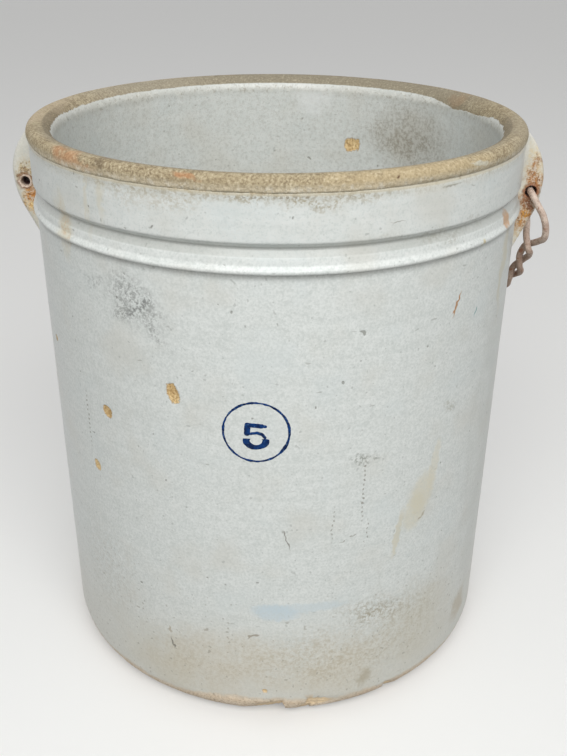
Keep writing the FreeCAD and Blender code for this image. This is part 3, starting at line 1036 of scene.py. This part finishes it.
def pot_material():
    g = Graph("worn_stoneware")
    look = marked_glaze(g)
    soil_and_shade_inside(g, look)
    soil_and_shade_outside(g, look)
    look.cover(rim_share(g), rim_clay(g))
    foot = foot_share(g)
    look.stain(g.band(foot, 0, 0.35) * 0.3, (184, 164, 134))
    look.cover(foot, foot_clay(g))
    bare = Field(g, g.node("ShaderNodeAttribute", attribute_name="bare").outputs["Fac"])
    look.cover(bare, chip_clay(g, bare))
    return look.finish(specular=0.4)


# Rust round the ears' holes: how far out and up from the hole each is, how wide and how high, its
# colour and strength
EAR_RUST = {
    "ear_left": [
        (0, -6, 18, 44, (214, 204, 176), 0.55),
        (-0.5, 6.5, 15, 15, (198, 172, 118), 0.75),
        (-0.5, 5, 12, 6, (140, 98, 50), 0.7),
        (-3, -10, 15, 17, (216, 166, 82), 0.9),
        (-3.6, -9, 9, 10, (196, 120, 44), 0.8),
        (0.6, -5.4, 7, 3, (120, 74, 40), 0.8),
        (-1.5, -14, 3, 5, (248, 226, 170), 0.8)],
    "ear_right": [
        (-2, -13, 15, 36, (212, 190, 142), 0.75),
        (2, 13, 13, 28, (214, 194, 148), 0.75),
        (-3.4, -11.5, 9.5, 22, (172, 106, 44), 0.95),
        (-2.6, -7, 7, 10, (116, 64, 28), 0.85),
        (-4.4, -15, 4, 9, (206, 150, 54), 0.8),
        (1.6, 8.6, 10, 14, (176, 108, 44), 0.95),
        (3, 14, 4, 14, (164, 112, 58), 0.7)]}
# How wide the worn ring round an ear's hole is, and its colour
WORN_RING = {"ear_left": (8.2, (228, 210, 192)), "ear_right": (8.6, (170, 118, 86))}


def ear_material(name):
    g = Graph("rust_stained_" + name)
    look = glaze(g)
    look.stain(0.35 + 0.3 * g.noise(*PATCHES), (212, 205, 188))
    side = SIDE[name]
    middle, height = HOLE_CENTRE[name]
    x, y, z = g.parts(g.loose)
    out, up = x * side - middle, z - height
    broken = g.band(g.noise(*GRIME), 0.4, 0.58)
    rusty = 0
    for away, above, across, high, colour, strength in EAR_RUST[name]:
        share = g.oval(out - away, up - above, across, high, 0.6) * (0.25 + 0.75 * broken)
        look.stain(share * strength, colour)
        rusty = share + rusty
    grains = g.band(rusty, 0.7, 1.6) * g.band(g.noise(*GRIT), 0.52, 0.4)
    look.stain(grains * 0.7, (92, 56, 30))
    x, y, z = g.parts(g.crisp)
    ring, colour = WORN_RING[name]
    out, up = x * side - middle, z - height
    look.stain(g.oval(out, up, ring + 2, ring + 2, 0.25) * 0.8, (124, 80, 46))
    worn_clay = bare_clay(g, [(238, 222, 206), colour, colour, (150, 110, 86)])
    look.cover(g.oval(out, up, ring, ring, 0.1), worn_clay)
    # the bore darker deeper in: rust, and painted shade inside the hole
    bore = g.oval(out, up, ring, ring, 0.1) * g.band(abs(y), 8.4, 3)
    look.stain(bore, (74, 36, 28))
    return look.finish()


def ink_material():
    g = Graph("blue_ink")
    tone = g.noise(3.4, 2)
    colour = g.blend(g.band(tone, 0.36, 0.66), paint(2, 28, 68), paint(10, 54, 110))
    look = Look(g, colour, 0.36 + 0.1 * tone, 0.02 * tone)
    look.stain(g.band(g.noise(1.3, 1), 0.6, 0.74) * 0.5, (96, 136, 180))
    return look.finish(specular=0.15)


def wire_material():
    g = Graph("dusty_rusted_wire")
    grain = g.noise(1.4, 2, 0.7)
    patches = g.band(g.noise(9, 3, 0.6), 0.36, 0.64)
    colour = g.blend(patches, paint(186, 164, 149), paint(214, 196, 181))
    look = Look(g, colour, 0.6 + 0.2 * (grain - 0.5), 0.2 * grain)
    look.stain(g.band(g.noise(5, 2), 0.55, 0.7) * 0.5, (150, 118, 98))
    look.stain(g.band(grain, 0.5, 0.32) * 0.55, (126, 98, 80))
    # rustier below the ear
    look.stain(g.band(g.z, 282, 268) * 0.4, (150, 112, 86))
    look.stain(g.flecks(4, 0.7) * 0.6, (150, 92, 56))
    return look.finish()


pot = make_pot()
ear_left = make_ear("ear_left")
ear_right = make_ear("ear_right")
mark = make_mark()
for piece, node in ((pot, "crock_body"), (ear_left, "ear_left"), (ear_right, "ear_right")):
    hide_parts(node)
for piece in (pot, ear_left, ear_right, mark):
    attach(piece, "crock")
pot.data.materials.append(pot_material())
ear_left.data.materials.append(ear_material("ear_left"))
ear_right.data.materials.append(ear_material("ear_right"))
mark.data.materials.append(ink_material())
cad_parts["bail_wire"].material_slots[0].material = wire_material()


# Camera, floor and light, in metres. The camera is the photograph's, found from the pot's ellipses.

CAMERA_PLACE = (0.044474, -0.591483, 0.469936)
CAMERA_RIGHT = (0.99751858, 0.07010669, 0.00645966)
CAMERA_UP = (-0.03723389, 0.447455, 0.89353101)
CAMERA_LENS = 45.238
FLOOR_SIZE = 9.0
# The floor's colour where it throws light back, its colour where it is seen, and how much it glows there
FLOOR_THROWN = (136, 136, 134)
FLOOR_SEEN = (222, 222, 220)
FLOOR_GLOW = 0.16
DAYLIGHT = 0.4
KEY_PLACE = (0.2, -1.55, 1.65)
KEY_AIM = (0.0, 0.0, 0.25)
KEY_WIDTH = 2.2
KEY_HEIGHT = 1.4
KEY_POWER = 44.0


def add(name, data):
    item = bpy.data.objects.new(name, data)
    bpy.context.scene.collection.objects.link(item)
    return item


def make_camera():
    data = bpy.data.cameras.new("camera")
    data.lens = CAMERA_LENS
    data.clip_start = 0.01
    camera = add("camera", data)
    right, up = Vector(CAMERA_RIGHT), Vector(CAMERA_UP)
    turn = Matrix((right, up, right.cross(up))).transposed().to_4x4()
    camera.matrix_world = Matrix.Translation(CAMERA_PLACE) @ turn
    bpy.context.scene.camera = camera


def seen_directly(tree):
    """1 for rays that carry an image, straight, mirrored or through glass, and 0 for the rest."""
    path = tree.nodes.new("ShaderNodeLightPath")
    share = path.outputs["Is Camera Ray"]
    for name in ("Is Glossy Ray", "Is Transmission Ray"):
        sum_node = tree.nodes.new("ShaderNodeMath")
        sum_node.use_clamp = True
        tree.links.new(share, sum_node.inputs[0])
        tree.links.new(path.outputs[name], sum_node.inputs[1])
        share = sum_node.outputs[0]
    return share


def make_sky():
    """An even white surround that lights the pot more softly than it looks."""
    world = bpy.data.worlds.new("studio")
    world.use_nodes = True
    bpy.context.scene.world = world
    tree = world.node_tree
    strength = tree.nodes.new("ShaderNodeMapRange")
    tree.links.new(seen_directly(tree), strength.inputs["Value"])
    strength.inputs["To Min"].default_value = DAYLIGHT
    strength.inputs["To Max"].default_value = 1.0
    background = tree.nodes["Background"]
    background.inputs["Color"].default_value = (1.0, 1.0, 1.0, 1.0)
    tree.links.new(strength.outputs[0], background.inputs["Strength"])


def make_floor():
    """A pale floor, which throws less light back up than it shows."""
    bm = bmesh.new()
    bmesh.ops.create_circle(bm, cap_ends=True, segments=96, radius=FLOOR_SIZE)
    floor = link("floor", bm, 1.0)
    material = bpy.data.materials.new("pale_floor")
    material.use_nodes = True
    tree = material.node_tree
    seen = seen_directly(tree)
    colour = tree.nodes.new("ShaderNodeMix")
    colour.data_type = "RGBA"
    tree.links.new(seen, colour.inputs[0])
    colour.inputs[6].default_value = paint(*FLOOR_THROWN)
    colour.inputs[7].default_value = paint(*FLOOR_SEEN)
    shader = tree.nodes["Principled BSDF"]
    tree.links.new(colour.outputs[2], shader.inputs["Base Color"])
    shader.inputs["Roughness"].default_value = 0.9
    shader.inputs["Specular IOR Level"].default_value = 0.2
    glow = tree.nodes.new("ShaderNodeMath")
    glow.operation = "MULTIPLY"
    glow.inputs[1].default_value = FLOOR_GLOW
    tree.links.new(seen, glow.inputs[0])
    tree.links.new(glow.outputs[0], shader.inputs["Emission Strength"])
    shader.inputs["Emission Color"].default_value = (1.0, 1.0, 1.0, 1.0)
    floor.data.materials.append(material)


def area_light(name, place, aim, width, height, energy):
    data = bpy.data.lights.new(name, "AREA")
    data.shape = "RECTANGLE"
    data.size = width
    data.size_y = height
    data.energy = energy
    lamp = add(name, data)
    lamp.location = place
    lamp.rotation_euler = (Vector(aim) - Vector(place)).to_track_quat("-Z", "Y").to_euler()


make_camera()
make_sky()
make_floor()
area_light("key", KEY_PLACE, KEY_AIM, KEY_WIDTH, KEY_HEIGHT, KEY_POWER)
bpy.context.scene.view_settings.view_transform = "Standard"
